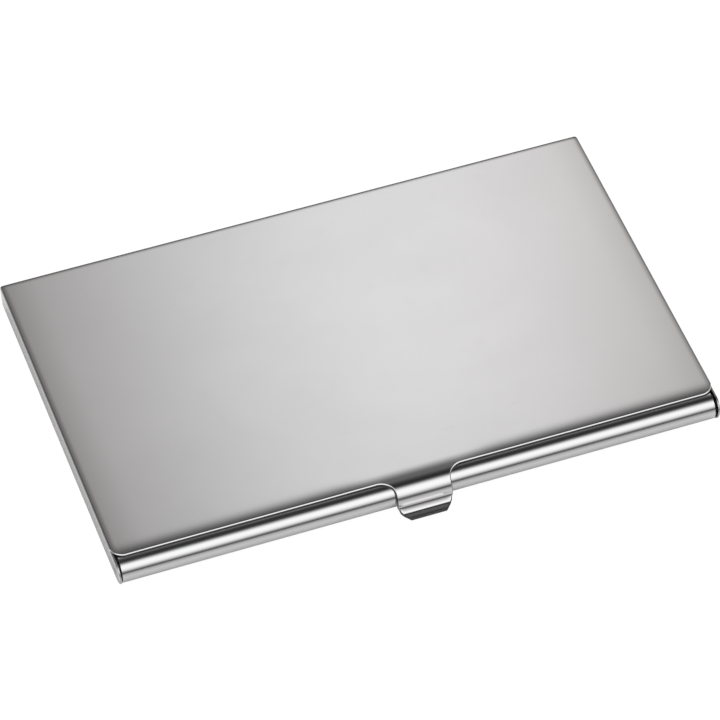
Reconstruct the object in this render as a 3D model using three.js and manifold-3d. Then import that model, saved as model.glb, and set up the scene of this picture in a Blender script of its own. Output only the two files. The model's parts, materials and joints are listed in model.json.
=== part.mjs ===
// Slim stainless-steel business card case. Two pressed sheets, a lid and a tray, turn on one another
// about the rolled tube along the front edge; a leaf spring is riveted to the tray floor.
// Millimetres, +Z up, +X along the long side, +Y towards the back.
// Origin: centre of the footprint, on the plane the case rests on. The parts are modelled with the
// hinge axis at y = 0, and each mesh is then moved in y to centre the footprint.
import * as THREE from 'three';
import { mergeVertices } from 'three/addons/utils/BufferGeometryUtils.js';
import Module from 'manifold-3d';

const wasm = await Module();
wasm.setup();

// ---- shared dimensions ----
const HEIGHT = 4.9; // underside to lid top
const SHEET = 0.35; // thickness of both pressed sheets
const CORNER = 0.7; // outside radius of the lid's upright back corners
const CORNER_STEPS = 6;

// ---- hinge ----
const TUBE_R = 2.2; // outside radius of the rolled tube; also the height of its axis
const TUBE_HALF = 45.85; // half length of the rolled tube
const JOURNAL_R = 0.7; // pivot journal
const EAR_HOLE_R = 0.75;

// ---- spring and rivet positions ----
const SPRING_Y = 28.3;
const SPRING_T = 0.2;
const SPRING_BASE = SHEET + 0.02; // spring underside, just clear of the tray floor
const RIVET_X = 3.5;
const RIVET_SHANK_R = 0.6;
const RIVET_HOLE_R = 0.63;

// ---- cutting solids ----
const CLEAR = 1; // overshoot past the faces being cut
const REACH = 60; // beyond the case in x and y
const ABOVE = 8; // beyond the case in z

// ---- solid helpers ----
const { degToRad, smoothstep } = THREE.MathUtils;
const toVectors = (points) => points.map((point) => new THREE.Vector2(point[0], point[1]));

// Closed solid from a triangle list; turns the triangles round if they face inwards.
function fromTriangles(positions, indices) {
  const make = (triangles) => new wasm.Manifold(new wasm.Mesh({
    numProp: 3,
    vertProperties: new Float32Array(positions),
    triVerts: new Uint32Array(triangles),
  }));
  const solid = make(indices);
  if (solid.volume() >= 0) return solid;
  const flipped = Array.from(indices);
  for (let i = 0; i < flipped.length; i += 3) {
    [flipped[i + 1], flipped[i + 2]] = [flipped[i + 2], flipped[i + 1]];
  }
  return make(flipped);
}

// Solid from a three.js geometry, with place(x, y, z) giving each vertex its final position.
function fromGeometry(geometry, place) {
  const vertices = geometry.attributes.position;
  for (let i = 0; i < vertices.count; i++) {
    vertices.setXYZ(i, ...place(vertices.getX(i), vertices.getY(i), vertices.getZ(i)));
  }
  geometry.deleteAttribute('normal');
  geometry.deleteAttribute('uv');
  const merged = mergeVertices(geometry, 1e-5);
  return fromTriangles(merged.attributes.position.array, merged.index.array);
}

// Prism of a polygon between two values of the remaining axis.
function prism(points, from, to, place) {
  const shape = new THREE.Shape(toVectors(points));
  const geometry = new THREE.ExtrudeGeometry(shape, { depth: to - from, bevelEnabled: false });
  return fromGeometry(geometry, (a, b, depth) => place(a, b, depth + from));
}
const alongX = (y, z, x) => [x, y, z];
const alongY = (x, z, y) => [x, y, z];
const alongZ = (x, y, z) => [x, y, z];

// Turned solids. Profile: [radius, distance along the axis], closed on the axis.
const turned = (profile, segments, place) =>
  fromGeometry(new THREE.LatheGeometry(toVectors(profile), segments), place);
const turnedOnHinge = (profile, segments, startX, side) =>
  turned(profile, segments, (a, along, b) => [startX + side * along, side * a, TUBE_R + b]);
const turnedOnRivet = (profile, side) =>
  turned(profile, 24, (a, along, b) => [side * RIVET_X + a, SPRING_Y - b, along]);
const rod = (radius, from, to) => [[0, from], [radius, from], [radius, to], [0, to]];

// Points of an arc, both ends included; angles in degrees.
function arc(centreA, centreB, radius, from, to, steps) {
  const points = [];
  for (let i = 0; i <= steps; i++) {
    const angle = degToRad(from + ((to - from) * i) / steps);
    points.push([centreA + radius * Math.cos(angle), centreB + radius * Math.sin(angle)]);
  }
  return points;
}

// Solid through rings of equal point counts; capTriangles(ring) triangulates an end ring.
function skin(rings, capTriangles) {
  const count = rings[0].length;
  const indices = [];
  for (let k = 0; k + 1 < rings.length; k++) {
    for (let i = 0; i < count; i++) {
      const here = k * count + i;
      const next = k * count + ((i + 1) % count);
      indices.push(here, next, next + count, here, next + count, here + count);
    }
  }
  const last = (rings.length - 1) * count;
  for (const [a, b, c] of capTriangles(rings[0])) indices.push(c, b, a);
  for (const [a, b, c] of capTriangles(rings.at(-1))) indices.push(last + a, last + b, last + c);
  return fromTriangles(rings.flat(2), indices);
}

// Stack of level rings, lowest first.
const loft = (rings) =>
  skin(rings, (ring) => THREE.ShapeUtils.triangulateShape(toVectors(ring), []));

// Bent sheet through stations {top, bottom, half}: top and bottom are [along, height] points of its
// two faces, half is its half width; place(along, height, across) puts them in space.
function strip(stations, place) {
  const rings = stations.map(({ top, bottom, half }) => [
    place(...top, -half),
    place(...top, half),
    place(...bottom, half),
    place(...bottom, -half),
  ]);
  return skin(rings, () => [[0, 1, 2], [0, 2, 3]]);
}

// Level outline with a square front and rounded back corners.
function panRing(half, front, back, corner, z) {
  const centreX = half - corner;
  const centreY = back - corner;
  return [
    [-half, front],
    [half, front],
    ...arc(centreX, centreY, corner, 0, 90, CORNER_STEPS),
    ...arc(-centreX, centreY, corner, 90, 180, CORNER_STEPS),
  ].map(([x, y]) => [x, y, z]);
}

// ---- lid ----
const WIDTH = 93.0; // over the side flanges
const BACK = 55.5; // hinge axis to the outside of the back flange
const TOP_BEND = 0.6; // outside radius of the bend between top and flanges
const LEAN = 0.043; // inward lean of the flanges, mm per mm of height
const LEAN_FROM = HEIGHT - TOP_BEND; // the flanges lean in below this height
const FLANGE_Z = 0.42; // lower edge of the flanges
const BLOCK_FRONT = -6; // front of the untrimmed lid, ahead of the ears
const FRONT_EDGE = 0.07; // sheared front edge, just behind the tube's crown
const FRONT_CORNER = 2.0; // plan radius of the front corners
const EAR_Y = -0.54; // centre of the round ears that carry the pivots
const EAR_R = 2.0;
const EAR_TOP = FLANGE_Z + 2 * EAR_R;
const TRIM_OVERLAP = 0.02; // overlap in height of the two trimming solids

// One skin of the lid, as a full block.
function lidBlock(inset, bottom, bendSteps) {
  const half = WIDTH / 2 - inset;
  const back = BACK - inset;
  const corner = CORNER - inset;
  const bend = TOP_BEND - inset;
  const lean = LEAN * (LEAN_FROM - bottom);
  const rings = [
    panRing(half - lean, BLOCK_FRONT, back - lean, corner, bottom),
    panRing(half, BLOCK_FRONT, back, corner, LEAN_FROM),
  ];
  for (let i = 1; i <= bendSteps; i++) {
    const angle = (Math.PI / 2) * (i / bendSteps);
    const drawIn = bend * (1 - Math.cos(angle));
    const z = LEAN_FROM + bend * Math.sin(angle);
    rings.push(panRing(half - drawIn, BLOCK_FRONT, back - drawIn, corner - drawIn, z));
  }
  return loft(rings);
}

// Region the lid is kept to: the plan outline above the ears, the side outline below.
function lidTrim() {
  const half = WIDTH / 2;
  const centreX = half - FRONT_CORNER;
  const centreY = FRONT_EDGE + FRONT_CORNER;
  const plan = [
    [half + CLEAR, REACH],
    [-half - CLEAR, REACH],
    [-half - CLEAR, centreY],
    ...arc(-centreX, centreY, FRONT_CORNER, 180, 270, 10),
    ...arc(centreX, centreY, FRONT_CORNER, 270, 360, 10),
    [half + CLEAR, centreY],
  ];
  const side = [
    [REACH, FLANGE_Z - CLEAR],
    [REACH, EAR_TOP],
    ...arc(EAR_Y, FLANGE_Z + EAR_R, EAR_R, 90, 270, 20),
    [EAR_Y, FLANGE_Z - CLEAR],
  ];
  return prism(plan, EAR_TOP - TRIM_OVERLAP, ABOVE, alongZ)
    .add(prism(side, -REACH, REACH, alongX));
}

// ---- thumb tab, part of the lid ----
// It runs forward off the lid, wraps down round the tube and turns out again into a lip.
// Angles are those of the top face's normal above horizontal, in degrees.
const TAB_HALF = 4.25;
const TAB_FILLET = 2.3; // blend from the front edge into the tab
const TAB_ROOT = 1.0; // overlap into the lid's top
const WRAP_R = 2.465; // outside radius of the wrap
const WRAP_Y = -0.417; // centre of the wrap
const WRAP_Z = HEIGHT - WRAP_R;
const WRAP_END = -1.55; // angle where the wrap meets the lip's turn
const WRAP_STEPS = 20;
const LIP_R = 1.475; // outside (hollow) radius of the turn into the lip
const LIP_CUT_FROM = 26; // angle at which the lip's slanted ends begin
const LIP_ANGLE = 78; // angle of the finished lip
const LIP_FLAT = 0.571; // flat part of the lip
const LIP_HALF = 2.7; // half width at the lip's front edge
// Distances ahead of the lid's front edge, on the flat before the wrap.
const FLAT_STATIONS = [0, 0.01, 0.04, 0.1, 0.2, 0.34];
// Angles through the turn into the lip.
const LIP_STATIONS = [6, 13, 19.5, 26, 34, 42, 50, 58, 66, 72, LIP_ANGLE];

function tabNormal(angle) {
  return [-Math.cos(degToRad(angle)), Math.sin(degToRad(angle))];
}

// Half width of the tab at a distance along it from the front edge.
function filletHalf(distance) {
  if (distance >= TAB_FILLET) return TAB_HALF;
  return TAB_HALF + TAB_FILLET - Math.sqrt(TAB_FILLET ** 2 - (TAB_FILLET - distance) ** 2);
}

// Half width in the turn, where the ends slant in towards the lip's front edge.
function lipHalf(angle) {
  const slantLength = degToRad(LIP_ANGLE - LIP_CUT_FROM) * LIP_R + LIP_FLAT;
  const distance = degToRad(Math.max(0, angle - LIP_CUT_FROM)) * LIP_R;
  return TAB_HALF - (TAB_HALF - LIP_HALF) * (distance / slantLength);
}

function tabStations() {
  const stations = [];
  const addStation = (top, normal, half) => {
    const bottom = [top[0] - SHEET * normal[0], top[1] - SHEET * normal[1]];
    stations.push({ top, bottom, half });
  };
  const up = [0, 1];
  addStation([FRONT_EDGE + TAB_ROOT, HEIGHT], up, filletHalf(0));
  for (const distance of FLAT_STATIONS) {
    addStation([FRONT_EDGE - distance, HEIGHT], up, filletHalf(distance));
  }

  const flatLength = FRONT_EDGE - WRAP_Y;
  for (let i = 0; i <= WRAP_STEPS; i++) {
    const angle = 90 - (90 - WRAP_END) * (i / WRAP_STEPS);
    const normal = tabNormal(angle);
    const top = [WRAP_Y + WRAP_R * normal[0], WRAP_Z + WRAP_R * normal[1]];
    addStation(top, normal, filletHalf(flatLength + degToRad(90 - angle) * WRAP_R));
  }

  const endNormal = tabNormal(WRAP_END);
  const turnY = WRAP_Y + (WRAP_R + LIP_R) * endNormal[0];
  const turnZ = WRAP_Z + (WRAP_R + LIP_R) * endNormal[1];
  for (const angle of LIP_STATIONS) {
    const normal = tabNormal(angle);
    addStation([turnY - LIP_R * normal[0], turnZ - LIP_R * normal[1]], normal, lipHalf(angle));
  }

  const [turnEndY, turnEndZ] = stations.at(-1).top;
  const normal = tabNormal(LIP_ANGLE);
  const tip = [turnEndY - LIP_FLAT * normal[1], turnEndZ + LIP_FLAT * normal[0]];
  addStation(tip, normal, LIP_HALF);
  return stations;
}

function makeLid() {
  return lidBlock(0, FLANGE_Z, 6)
    .subtract(lidBlock(SHEET, -CLEAR, 4))
    .intersect(lidTrim())
    .add(strip(tabStations(), alongX))
    .subtract(turnedOnHinge(rod(EAR_HOLE_R, -REACH, REACH), 24, 0, 1));
}

// ---- tray ----
const TRAY_HALF = 45.75; // outside half width
const TRAY_BACK = 54.7; // outside back
const TRAY_TOP = 4.2; // wall height
const TRAY_BEND = 0.5; // outside radius between floor and walls
const TRAY_CORNER = CORNER + 0.1;
const WALL_FRONT = 2.7; // side walls start just behind the tube
const WALL_ROUND = 1.2; // rounding at the top of their front ends
const ROLL_END = -40; // where the rolled edge stops, degrees from the +Y direction
const ROLL_STEPS = 46;
const ROLL_TAIL = 0.6; // flat sheet joining the roll to the floor
const RAIL_X = 44.2; // inner edge of the turned-in rails
const RAIL_Y = [14, 42]; // front and back of the rails
const RAIL_FLARE = 0.6; // extra length at each end where a rail meets the wall
const RAIL_CHAMFER = 0.5;
const RAIL_OVERLAP = 0.1; // keeps the rail's root inside the wall's outer face
const NOTCH_HALF = 13; // finger notch in the back wall, half width at the top
const NOTCH_SLOPE = 5; // width of each curved side of the notch
const NOTCH_Z = 1.3; // bottom of the notch
const NOTCH_STEPS = 8;
// Countersunk rivet hole: [radius, height].
const COUNTERSINK = [
  [0, -0.1], [1.02, -0.1], [1.02, 0.02], [RIVET_HOLE_R, 0.24], [RIVET_HOLE_R, 0.6], [0, 0.6],
];

// One skin of the tray, as a full block.
function trayBlock(inset, top, bendSteps) {
  const half = TRAY_HALF - inset;
  const back = TRAY_BACK - inset;
  const corner = TRAY_CORNER - inset;
  const bend = TRAY_BEND - inset;
  const rings = [];
  for (let i = 0; i <= bendSteps; i++) {
    const angle = (Math.PI / 2) * (i / bendSteps);
    const drawIn = bend * (1 - Math.sin(angle));
    const z = inset + bend * (1 - Math.cos(angle));
    rings.push(panRing(half - drawIn, 0, back - drawIn, corner - drawIn, z));
  }
  rings.push(panRing(half, 0, back, corner, top));
  return loft(rings);
}

// Clears the side walls from beside the tube.
function frontOpening() {
  const half = TRAY_HALF + CLEAR;
  const plan = [[-half, -CLEAR], [half, -CLEAR], [half, WALL_FRONT], [-half, WALL_FRONT]];
  return prism(plan, SHEET, ABOVE, alongZ);
}

function wallEndTrim() {
  const centreY = WALL_FRONT + WALL_ROUND;
  const centreZ = TRAY_TOP - WALL_ROUND;
  const outline = [
    [WALL_FRONT - CLEAR, TRAY_TOP + CLEAR],
    [WALL_FRONT - CLEAR, centreZ],
    ...arc(centreY, centreZ, WALL_ROUND, 180, 90, 6),
    [centreY, TRAY_TOP + CLEAR],
  ];
  return prism(outline, -REACH, REACH, alongX);
}

function rolledTube() {
  const section = [
    ...arc(0, TUBE_R, TUBE_R, 270, ROLL_END, ROLL_STEPS),
    ...arc(0, TUBE_R, TUBE_R - SHEET, ROLL_END, 270, ROLL_STEPS),
    [ROLL_TAIL, SHEET],
    [ROLL_TAIL, 0],
  ];
  return prism(section, -TUBE_HALF, TUBE_HALF, alongX);
}

// Turned-in rail that keeps the cards down.
function rail(side) {
  const [front, back] = RAIL_Y;
  const root = TRAY_HALF - RAIL_OVERLAP;
  const wall = TRAY_HALF - SHEET;
  const plan = [
    [root, front - RAIL_FLARE],
    [root, back + RAIL_FLARE],
    [wall, back + RAIL_FLARE],
    [RAIL_X + RAIL_CHAMFER, back],
    [RAIL_X, back - RAIL_CHAMFER],
    [RAIL_X, front + RAIL_CHAMFER],
    [RAIL_X + RAIL_CHAMFER, front],
    [wall, front - RAIL_FLARE],
  ].map(([x, y]) => [side * x, y]);
  return prism(plan, TRAY_TOP - SHEET, TRAY_TOP, alongZ);
}

function fingerNotch() {
  const left = [[-NOTCH_HALF, TRAY_TOP + CLEAR]];
  for (let i = 0; i <= NOTCH_STEPS; i++) {
    const part = i / NOTCH_STEPS;
    const z = TRAY_TOP - (TRAY_TOP - NOTCH_Z) * smoothstep(part, 0, 1);
    left.push([-NOTCH_HALF + NOTCH_SLOPE * part, z]);
  }
  const right = left.map(([x, z]) => [-x, z]).reverse();
  return prism([...left, ...right], TRAY_BACK - CLEAR, TRAY_BACK + CLEAR, alongY);
}

function makeTray() {
  const hollow = trayBlock(SHEET, ABOVE, 3).add(frontOpening());
  return trayBlock(0, TRAY_TOP, 5)
    .subtract(hollow)
    .subtract(wallEndTrim())
    .add(rolledTube())
    .add(rail(-1))
    .add(rail(1))
    .subtract(fingerNotch())
    .subtract(turnedOnRivet(COUNTERSINK, -1))
    .subtract(turnedOnRivet(COUNTERSINK, 1));
}

// ---- pivot pins: a plug in the tube end, with a journal through the lid's ear ----
const PLUG_R = 1.82;
const PLUG_LENGTH = 4.0;
const PLUG_CHAMFER = 0.25; // inner end
const PLUG_FACE_CHAMFER = 0.08; // outer end
const PLUG_RECESS = 0.05; // plug face below the tube end
const JOURNAL_LENGTH = 0.58;
const JOURNAL_CHAMFER = 0.1;

function makePin(side) {
  const profile = [
    [0, -PLUG_LENGTH],
    [PLUG_R - PLUG_CHAMFER, -PLUG_LENGTH],
    [PLUG_R, -PLUG_LENGTH + PLUG_CHAMFER],
    [PLUG_R, -PLUG_FACE_CHAMFER],
    [PLUG_R - PLUG_FACE_CHAMFER, 0],
    [JOURNAL_R, 0],
    [JOURNAL_R, JOURNAL_LENGTH - JOURNAL_CHAMFER],
    [JOURNAL_R - JOURNAL_CHAMFER, JOURNAL_LENGTH],
    [0, JOURNAL_LENGTH],
  ];
  return turnedOnHinge(profile, 36, side * (TUBE_HALF - PLUG_RECESS), side);
}

// ---- card spring: a leaf along X, flat in the middle, with both arms rising ----
const SPRING_HALF = 24; // half length
const SPRING_RISE = 1.0;
const SPRING_FLAT = 6; // the arms start to rise and narrow here
const SPRING_CREST = 20; // highest point of each arm
const SPRING_DROP = 0.35; // fall from the crest to the tip
const SPRING_WIDE = 5; // half width in the middle
const SPRING_TAPER = 1.6; // loss of half width along the arm
const SPRING_TAPER_END = 23;
const SPRING_TIP = 2.4; // half width at the tip

function springHeight(distance) {
  if (distance <= SPRING_CREST) {
    return SPRING_RISE * smoothstep(distance, SPRING_FLAT, SPRING_CREST);
  }
  const past = (distance - SPRING_CREST) / (SPRING_HALF - SPRING_CREST);
  return SPRING_RISE - SPRING_DROP * past ** 2;
}

function springHalfWidth(distance) {
  if (distance < SPRING_FLAT) return SPRING_WIDE;
  if (distance > SPRING_TAPER_END) return SPRING_TIP;
  const part = (distance - SPRING_FLAT) / (SPRING_TAPER_END - SPRING_FLAT);
  return SPRING_WIDE - SPRING_TAPER * part;
}

function makeSpring() {
  const stations = [];
  for (let x = -SPRING_HALF; x <= SPRING_HALF; x++) {
    const distance = Math.abs(x);
    const z = SPRING_BASE + springHeight(distance);
    stations.push({ top: [x, z + SPRING_T], bottom: [x, z], half: springHalfWidth(distance) });
  }
  const hole = rod(RIVET_HOLE_R, 0, 3);
  return strip(stations, (x, z, across) => [x, SPRING_Y + across, z])
    .subtract(turnedOnRivet(hole, -1))
    .subtract(turnedOnRivet(hole, 1));
}

// ---- spring rivets ----
// Countersunk foot: [radius, height].
const RIVET_FOOT = [[0, 0.01], [0.99, 0.01], [RIVET_SHANK_R, 0.23]];
// Shank top and domed head: [radius, height above the spring].
const RIVET_HEAD = [
  [RIVET_SHANK_R, 0.01], [1.25, 0.01], [1.22, 0.12], [1.0, 0.26], [0.55, 0.36], [0, 0.4],
];

function makeRivet(side) {
  const springTop = SPRING_BASE + SPRING_T;
  const head = RIVET_HEAD.map(([radius, height]) => [radius, springTop + height]);
  return turnedOnRivet([...RIVET_FOOT, ...head], side);
}

// ---- meshes ----
const lipTipY = tabStations().at(-1).top[0];
const FOOTPRINT_SHIFT = -(BACK + lipTipY) / 2;

const steel = (color, roughness) =>
  new THREE.MeshStandardMaterial({ color, roughness, metalness: 1.0 });

function makeMesh(name, solid, material) {
  const { vertProperties, triVerts } = solid.getMesh();
  const geometry = new THREE.BufferGeometry();
  geometry.setAttribute(
    'position',
    new THREE.BufferAttribute(new Float32Array(vertProperties), 3),
  );
  geometry.setIndex(new THREE.BufferAttribute(new Uint32Array(triVerts), 1));
  const faceted = geometry.toNonIndexed();
  faceted.computeVertexNormals();
  const mesh = new THREE.Mesh(faceted, material);
  mesh.name = name;
  mesh.position.set(0, FOOTPRINT_SHIFT, 0);
  return mesh;
}

const group = new THREE.Group();
group.name = 'business_card_case';
group.add(
  makeMesh('lid', makeLid(), steel(0xc9cacb, 0.22)),
  makeMesh('tray', makeTray(), steel(0xc4c5c6, 0.26)),
  makeMesh('pivot_pin_left', makePin(-1), steel(0xb4b5b6, 0.35)),
  makeMesh('pivot_pin_right', makePin(1), steel(0xb4b5b7, 0.35)),
  makeMesh('card_spring', makeSpring(), steel(0xa9a6a0, 0.3)),
  makeMesh('spring_rivet_left', makeRivet(-1), steel(0xbdbdba, 0.32)),
  makeMesh('spring_rivet_right', makeRivet(1), steel(0xbdbdb8, 0.32)),
);

export default group;
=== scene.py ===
"""A hinged card case in polished sheet steel.

The case has a folded lid with a curled thumb tab, a folded tray with a rolled hinge tube, two pivot
pins, a leaf spring and two rivets. Working coordinates are millimetres: X runs along the hinge,
Y = 0 is the hinge axis, +Y is the back of the case, and Z = 0 is the underside.
"""

import json
import math

import bpy
import numpy as np
from mathutils import Matrix, Vector
from mathutils.geometry import delaunay_2d_cdt


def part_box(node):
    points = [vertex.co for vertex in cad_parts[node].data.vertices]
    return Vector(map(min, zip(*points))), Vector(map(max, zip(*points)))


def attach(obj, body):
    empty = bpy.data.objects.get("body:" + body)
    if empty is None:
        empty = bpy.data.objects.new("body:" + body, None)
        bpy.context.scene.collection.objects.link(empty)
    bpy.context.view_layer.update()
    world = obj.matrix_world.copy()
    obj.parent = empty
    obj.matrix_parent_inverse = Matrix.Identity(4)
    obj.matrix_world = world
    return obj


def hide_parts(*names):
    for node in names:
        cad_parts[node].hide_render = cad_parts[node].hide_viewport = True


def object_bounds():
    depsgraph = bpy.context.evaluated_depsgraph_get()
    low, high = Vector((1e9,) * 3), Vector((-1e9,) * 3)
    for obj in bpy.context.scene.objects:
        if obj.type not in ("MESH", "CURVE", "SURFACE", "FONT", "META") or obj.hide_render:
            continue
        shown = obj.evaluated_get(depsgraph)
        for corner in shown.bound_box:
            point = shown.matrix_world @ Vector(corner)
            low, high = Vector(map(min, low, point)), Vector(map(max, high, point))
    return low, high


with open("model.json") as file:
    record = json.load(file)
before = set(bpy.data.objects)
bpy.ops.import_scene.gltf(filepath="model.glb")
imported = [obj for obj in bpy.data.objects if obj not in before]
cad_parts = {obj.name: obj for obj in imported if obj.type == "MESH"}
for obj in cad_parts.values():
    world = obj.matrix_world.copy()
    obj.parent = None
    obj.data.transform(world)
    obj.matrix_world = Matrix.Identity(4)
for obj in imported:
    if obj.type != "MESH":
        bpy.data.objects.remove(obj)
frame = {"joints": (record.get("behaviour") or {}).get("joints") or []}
CAD_LO, CAD_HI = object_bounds()

# ------------------------------------------------------------------ places from the CAD
hinge = [joint for joint in frame["joints"] if joint["name"] == "lid_hinge"][0]
hinge_pos = hinge.get("pos_m") or hinge.get("pos")
HINGE_Y = float(hinge_pos[1]) * 1000.0
HINGE_Z = float(hinge_pos[2]) * 1000.0
lid_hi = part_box("lid")[1]
tray_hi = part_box("tray")[1]
spring_lo, spring_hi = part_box("card_spring")
rivet_lo, rivet_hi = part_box("spring_rivet_right")

SHEET = 0.35                             # thickness of the lid and of the tray
QUARTER = math.pi / 2

# Lid. Its flat top ends at the fold lines, where the side and back bends start.
LID_HALF = lid_hi.x * 1000.0 + 0.03
LID_BACK = lid_hi.y * 1000.0 - HINGE_Y
LID_TOP = lid_hi.z * 1000.0
SIDE_BEND, BACK_BEND = 0.33, 0.52        # outside radii of the bends
LID_CORE_R = 0.1                         # plan radius of the flat top's back corners
SIDE_TILT, BACK_TILT = math.radians(3.4), math.radians(3.0)   # slope of the top at the fold lines
LID_FOLD_X = LID_HALF - SIDE_BEND * (1 - math.sin(SIDE_TILT))
LID_FOLD_Y = LID_BACK - BACK_BEND * (1 - math.sin(BACK_TILT))
FULL_BEND = QUARTER + math.radians(3.5)  # the walls lean in a little past upright
FRONT = -0.03                            # front edge of the lid
FLANGE_Z = 0.42                          # lower edge of the lid's walls

# Thumb tab. Distances run down its flat pattern.
TAB_START = FRONT + 0.24                 # the tab starts to wrap just behind the front edge
FRONT_REACH, FRONT_TILT, FRONT_POWER = 1.6, 6.2, 1.7   # roll-off of the top into the tab
WRAP_R, WRAP_FROM = 2.465, 0.487

# Tray
TRAY_HALF, TRAY_BACK, TRAY_TOP = 45.75, tray_hi.y * 1000.0 - HINGE_Y, 4.2
TRAY_BEND, TRAY_CORE_R = 0.5, 0.3
TRAY_FOLD_X, TRAY_FOLD_Y = TRAY_HALF - TRAY_BEND, TRAY_BACK - TRAY_BEND
TRAY_ARC = TRAY_BEND * QUARTER           # developed length of a bend
RAIL_FROM, RAIL_TO = 13.7, 42.3          # turned-in rails on top of the side walls
RAIL_R, RAIL_FLAT = 0.45, 1.1
RAIL_START = TRAY_ARC + (TRAY_TOP - RAIL_R - TRAY_BEND)
TUBE_R = HINGE_Z                         # the tube rests on the floor plane
TUBE_HALF = tray_hi.x * 1000.0 - 0.03
TUBE_LENGTH = math.radians(270 + 40) * TUBE_R   # developed length of the roll

# Spring and rivets
SPRING_SHEET = 0.2
SPRING_HALF = spring_hi.x * 1000.0
SPRING_Y = (spring_lo.y + spring_hi.y) / 2 * 1000.0 - HINGE_Y
SPRING_TOP = SHEET + 0.02 + SPRING_SHEET
RIVET_X = (rivet_lo.x + rivet_hi.x) / 2 * 1000.0
RIVET_Y = (rivet_lo.y + rivet_hi.y) / 2 * 1000.0 - HINGE_Y
RIVET_HOLE_R = 0.63


# ------------------------------------------------------------------ cut edges
# An edge is a list of rows: inward offset, depth below the outer face, and angle of the surface
# normal from the outer face's normal.
def lower_edge(thick, depth, inner_round, mid):
    """Rows from the given depth down the cut and round the inner corner."""
    rows = [(0.0, depth + (thick - depth - inner_round) * k / (mid + 1), QUARTER)
            for k in range(1, mid + 1)]
    for degrees in (90, 115, 140, 160, 180):
        turn = math.radians(degrees)
        rows.append((inner_round * (1 - math.sin(turn)),
                     thick - inner_round * (1 + math.cos(turn)), turn))
    return rows


def rounded_edge(thick, outer_round, inner_round, mid=2):
    rows = []
    for degrees in (0, 18, 36, 54, 72, 90):
        turn = math.radians(degrees)
        rows.append((outer_round * (1 - math.sin(turn)), outer_round * (1 - math.cos(turn)), turn))
    return rows + lower_edge(thick, outer_round, inner_round, mid)


def broken_edge(thick, turns, inner_round):
    """An edge broken by a soft slanted face. turns: (arc length, normal angle at its end)."""
    path, out, down, last = [(0.0, 0.0, 0.0)], 0.0, 0.0, 0.0
    for length, degrees in turns:
        slope = math.radians((last + degrees) / 2)
        out += length * math.cos(slope)
        down += length * math.sin(slope)
        last = degrees
        path.append((out, down, math.radians(degrees)))
    return [(out - o, d, turn) for o, d, turn in path] + lower_edge(thick, down, inner_round, 2)


# ------------------------------------------------------------------ plane outlines
def fillet_path(points):
    """Rounds the corners of an open path. points: (x, y, radius), the radius may be left out."""
    out = []
    for i, point in enumerate(points):
        corner = np.array(point[:2], float)
        radius = point[2] if len(point) > 2 else 0
        if radius <= 0 or i == 0 or i == len(points) - 1:
            out.append(tuple(corner))
            continue
        back = np.array(points[i - 1][:2], float) - corner
        ahead = np.array(points[i + 1][:2], float) - corner
        back_len, ahead_len = np.linalg.norm(back), np.linalg.norm(ahead)
        back, ahead = back / back_len, ahead / ahead_len
        half = math.acos(float(np.clip(back @ ahead, -1, 1))) / 2
        cut = min(radius / math.tan(half), 0.49 * back_len, 0.49 * ahead_len)
        radius = cut * math.tan(half)
        middle = (back + ahead) / np.linalg.norm(back + ahead)
        centre = corner + middle * (radius / math.sin(half))
        first, last = corner + back * cut - centre, corner + ahead * cut - centre
        start = math.atan2(first[1], first[0])
        sweep = math.atan2(last[1], last[0]) - start
        sweep = (sweep + math.pi) % (2 * math.pi) - math.pi
        count = max(3, int(abs(sweep) / math.radians(11)) + 1)
        for j in range(count + 1):
            angle = start + sweep * j / count
            out.append((centre[0] + radius * math.cos(angle), centre[1] + radius * math.sin(angle)))
    return out


def arc(x, y, radius, degrees):
    return [(x + radius * math.cos(math.radians(d)), y + radius * math.sin(math.radians(d)))
            for d in degrees]


def hole(x, y, radius, count):
    """A clockwise circle."""
    angles = [-2 * math.pi * i / count for i in range(count)]
    return [(x + radius * math.cos(a), y + radius * math.sin(a)) for a in angles]


def mirrored(half):
    """Closes a half outline with its mirror image across x = 0."""
    return half + [(-x, y) for x, y in half[:0:-1]]


def refine(path, spacing):
    """Adds points to a closed path so that no segment is longer than spacing(midpoint)."""
    out = []
    for i in range(len(path)):
        here, there = np.array(path[i], float), np.array(path[(i + 1) % len(path)], float)
        length = np.linalg.norm(there - here)
        if length < 1e-7:
            continue
        count = max(1, int(math.ceil(length / spacing((here + there) / 2))))
        for j in range(count):
            out.append(tuple(here + (there - here) * j / count))
    return out


def clean_loop(path, tol=2e-3):
    """Drops points that nearly coincide with the one before."""
    out = []
    for p in path:
        if not out or math.hypot(p[0] - out[-1][0], p[1] - out[-1][1]) > tol:
            out.append(p)
    while math.hypot(out[0][0] - out[-1][0], out[0][1] - out[-1][1]) <= tol:
        out.pop()
    return np.array(out, float)


def inward_offsets(loop):
    """For each point, the shift that moves both its edges one unit to the left."""
    edge_in = loop - np.roll(loop, 1, 0)
    edge_out = np.roll(loop, -1, 0) - loop
    edge_in /= np.linalg.norm(edge_in, axis=1)[:, None]
    edge_out /= np.linalg.norm(edge_out, axis=1)[:, None]
    left_in = np.stack([-edge_in[:, 1], edge_in[:, 0]], 1)
    left_out = np.stack([-edge_out[:, 1], edge_out[:, 0]], 1)
    normal = left_in + left_out
    normal /= np.linalg.norm(normal, axis=1)[:, None]
    mitre = 1.0 / np.clip((normal * left_out).sum(1), 0.6, 1)
    return normal, mitre


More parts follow.
